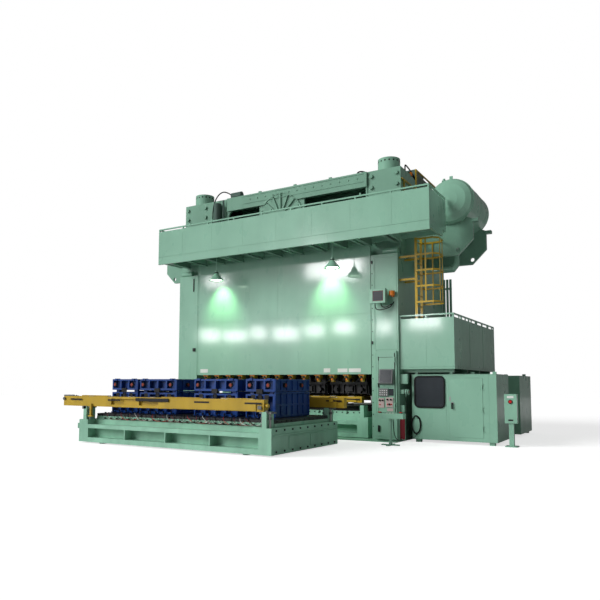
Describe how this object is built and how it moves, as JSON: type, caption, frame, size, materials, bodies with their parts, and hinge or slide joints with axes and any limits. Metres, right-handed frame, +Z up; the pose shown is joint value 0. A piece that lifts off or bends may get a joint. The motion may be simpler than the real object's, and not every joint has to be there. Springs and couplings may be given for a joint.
{
  "type": "industrial press",
  "caption": "Straight-side transfer press with die carriages on rails, a deep crown with a gear drive, a walkway, a mezzanine and a feed housing.",
  "frame": {"origin": "on the floor, in the middle between the uprights, in the plane of the uprights' front", "axes": "+Z up, +X to the operator's right, +Y to the back of the press"},
  "size_m": [11.895, 10.45, 8.42],
  "materials": {
    "green_paint": "semi-gloss green machine paint",
    "dark_green_paint": "dull dark green paint",
    "yellow_paint": "yellow safety paint",
    "blue_paint": "blue die paint, slightly worn",
    "machined_steel": "machined, lightly oiled",
    "dark_steel": "dark oiled steel",
    "black_plastic": "matt black",
    "dark_window": "dark glossy pane",
    "orange_lens": "glossy orange lens",
    "red_plastic": "glossy red",
    "grey_plastic": "matt dark grey",
    "cord_rubber": "matt black sheath"
  },
  "bodies": {
    "frame": {"bed": "green_paint", "right_upright": "green_paint", "left_upright": "green_paint", "crown": "green_paint", "bearing_cover": "green_paint", "tie_rod_blocks": "green_paint", "tie_rods": "green_paint", "air_tank": "green_paint", "air_pipe": "green_paint", "walkway_deck": "green_paint", "walkway_parapet": "green_paint", "mezzanine_deck": "green_paint", "mezzanine_parapet": "green_paint", "ladder": "yellow_paint", "ladder_cage": "yellow_paint", "feed_housing": "green_paint", "housing_window": "dark_window", "control_cabinet": "green_paint", "upright_boxes": "dark_green_paint", "beacon": "orange_lens", "console": "green_paint", "button_post": "green_paint", "work_lamps": "dark_green_paint", "slide_gibs": "machined_steel", "oil_unit": "dark_green_paint", "crown_rail": "yellow_paint", "oil_hose": "cord_rubber", "console_cable": "cord_rubber", "pendant_cable": "cord_rubber", "cable_hank": "cord_rubber"},
    "housing_door": {"housing_door": "green_paint"},
    "door_handle": {"door_handle": "black_plastic"},
    "cabinet_door": {"cabinet_door": "green_paint", "operator_panels": "grey_plastic"},
    "palm_button_left": {"palm_button_left": "red_plastic"},
    "palm_button_right": {"palm_button_right": "red_plastic"},
    "post_button": {"post_button": "red_plastic"},
    "slide": {"slide": "green_paint", "die_clamps": "yellow_paint", "hung_dies": "dark_steel", "plungers": "machined_steel"},
    "left_crankshaft": {"left_crankshaft": "dark_steel"},
    "right_crankshaft": {"right_crankshaft": "dark_steel"},
    "drive_shaft": {"drive_shaft": "dark_steel"},
    "outer_carriage": {"outer_carriage": "green_paint", "outer_bolster": "machined_steel", "outer_lower_dies": "blue_paint", "outer_upper_dies": "blue_paint", "outer_feed_bars": "yellow_paint"},
    "outer_front_axle": {"outer_front_axle": "dark_steel"},
    "outer_rear_axle": {"outer_rear_axle": "dark_steel"},
    "inner_carriage": {"inner_carriage": "green_paint", "inner_lower_dies": "dark_steel"},
    "inner_front_axle": {"inner_front_axle": "dark_steel"},
    "inner_rear_axle": {"inner_rear_axle": "dark_steel"},
    "feed_lift": {"lift_blocks": "machined_steel"},
    "front_clamp": {"front_shoes": "machined_steel"},
    "rear_clamp": {"rear_shoes": "machined_steel"},
    "front_bar": {"front_feed_bar": "yellow_paint"},
    "rear_bar": {"rear_feed_bar": "yellow_paint"}
  },
  "joints": [
    {"name": "slide_stroke", "type": "slide", "parent": "frame", "child": "slide", "axis": [0, 0, 1], "range_m": [-0.3, 0.5]},
    {"name": "outer_travel", "type": "slide", "parent": "frame", "child": "outer_carriage", "axis": [0, 1, 0], "range_m": [0, 1.5]},
    {"name": "inner_travel", "type": "slide", "parent": "frame", "child": "inner_carriage", "axis": [0, 1, 0], "range_m": [0, 1]},
    {"name": "outer_front_roll", "type": "hinge", "parent": "outer_carriage", "child": "outer_front_axle", "pos_m": [-0.115, -4.32, 0.1703], "axis": [1, 0, 0], "range_deg": [-615, 0]},
    {"name": "outer_rear_roll", "type": "hinge", "parent": "outer_carriage", "child": "outer_rear_axle", "pos_m": [-0.115, -2.32, 0.1703], "axis": [1, 0, 0], "range_deg": [-615, 0]},
    {"name": "inner_front_roll", "type": "hinge", "parent": "inner_carriage", "child": "inner_front_axle", "pos_m": [-0.115, 0.92, 0.1703], "axis": [1, 0, 0], "range_deg": [-410, 0]},
    {"name": "inner_rear_roll", "type": "hinge", "parent": "inner_carriage", "child": "inner_rear_axle", "pos_m": [-0.115, 2.92, 0.1703], "axis": [1, 0, 0], "range_deg": [-410, 0]},
    {"name": "drive_shaft_turn", "type": "hinge", "parent": "frame", "child": "drive_shaft", "pos_m": [0, 1.92, 6.96], "axis": [0, 1, 0], "continuous": true},
    {"name": "left_crank_turn", "type": "hinge", "parent": "frame", "child": "left_crankshaft", "pos_m": [-1.5, 1.92, 6.96], "axis": [0, 1, 0], "continuous": true},
    {"name": "right_crank_turn", "type": "hinge", "parent": "frame", "child": "right_crankshaft", "pos_m": [1.5, 1.92, 6.96], "axis": [0, 1, 0], "continuous": true},
    {"name": "housing_door_hinge", "type": "hinge", "parent": "frame", "child": "housing_door", "pos_m": [6.188, 0.254, 0.97], "axis": [0, 0, 1], "range_deg": [0, 110]},
    {"name": "door_handle_turn", "type": "hinge", "parent": "housing_door", "child": "door_handle", "pos_m": [5.4, 0.27, 1.08], "axis": [0, 1, 0], "range_deg": [0, 90]},
    {"name": "cabinet_door_hinge", "type": "hinge", "parent": "frame", "child": "cabinet_door", "pos_m": [3.91, -0.084, 1.6], "axis": [0, 0, 1], "range_deg": [0, 100]},
    {"name": "palm_left_press", "type": "slide", "parent": "frame", "child": "palm_button_left", "axis": [0, 0, -1], "range_m": [0, 0.008], "stiffness_N_per_m": 3000, "springref_m": -0.01},
    {"name": "palm_right_press", "type": "slide", "parent": "frame", "child": "palm_button_right", "axis": [0, 0, -1], "range_m": [0, 0.008], "stiffness_N_per_m": 3000, "springref_m": -0.01},
    {"name": "post_button_press", "type": "slide", "parent": "frame", "child": "post_button", "axis": [0, 1, 0], "range_m": [0, 0.008], "stiffness_N_per_m": 3000, "springref_m": -0.003},
    {"name": "feed_lift_rise", "type": "slide", "parent": "frame", "child": "feed_lift", "axis": [0, 0, 1], "range_m": [0, 0.12]},
    {"name": "front_clamp_in", "type": "slide", "parent": "feed_lift", "child": "front_clamp", "axis": [0, 1, 0], "range_m": [0, 0.15]},
    {"name": "rear_clamp_in", "type": "slide", "parent": "feed_lift", "child": "rear_clamp", "axis": [0, -1, 0], "range_m": [0, 0.15]},
    {"name": "front_feed", "type": "slide", "parent": "front_clamp", "child": "front_bar", "axis": [1, 0, 0], "range_m": [-0.25, 0.25]},
    {"name": "rear_feed", "type": "slide", "parent": "rear_clamp", "child": "rear_bar", "axis": [1, 0, 0], "range_m": [-0.25, 0.25]}
  ],
  "couplings": [
    {"joint": "outer_front_roll", "follows": "outer_travel", "rad_per_m": -7.1429},
    {"joint": "outer_rear_roll", "follows": "outer_travel", "rad_per_m": -7.1429},
    {"joint": "inner_front_roll", "follows": "inner_travel", "rad_per_m": -7.1429},
    {"joint": "inner_rear_roll", "follows": "inner_travel", "rad_per_m": -7.1429},
    {"joint": "left_crank_turn", "follows": "drive_shaft_turn", "ratio": -0.88889},
    {"joint": "right_crank_turn", "follows": "drive_shaft_turn", "ratio": -0.88889},
    {"joint": "rear_clamp_in", "follows": "front_clamp_in", "ratio": 1},
    {"joint": "rear_feed", "follows": "front_feed", "ratio": 1}
  ]
}
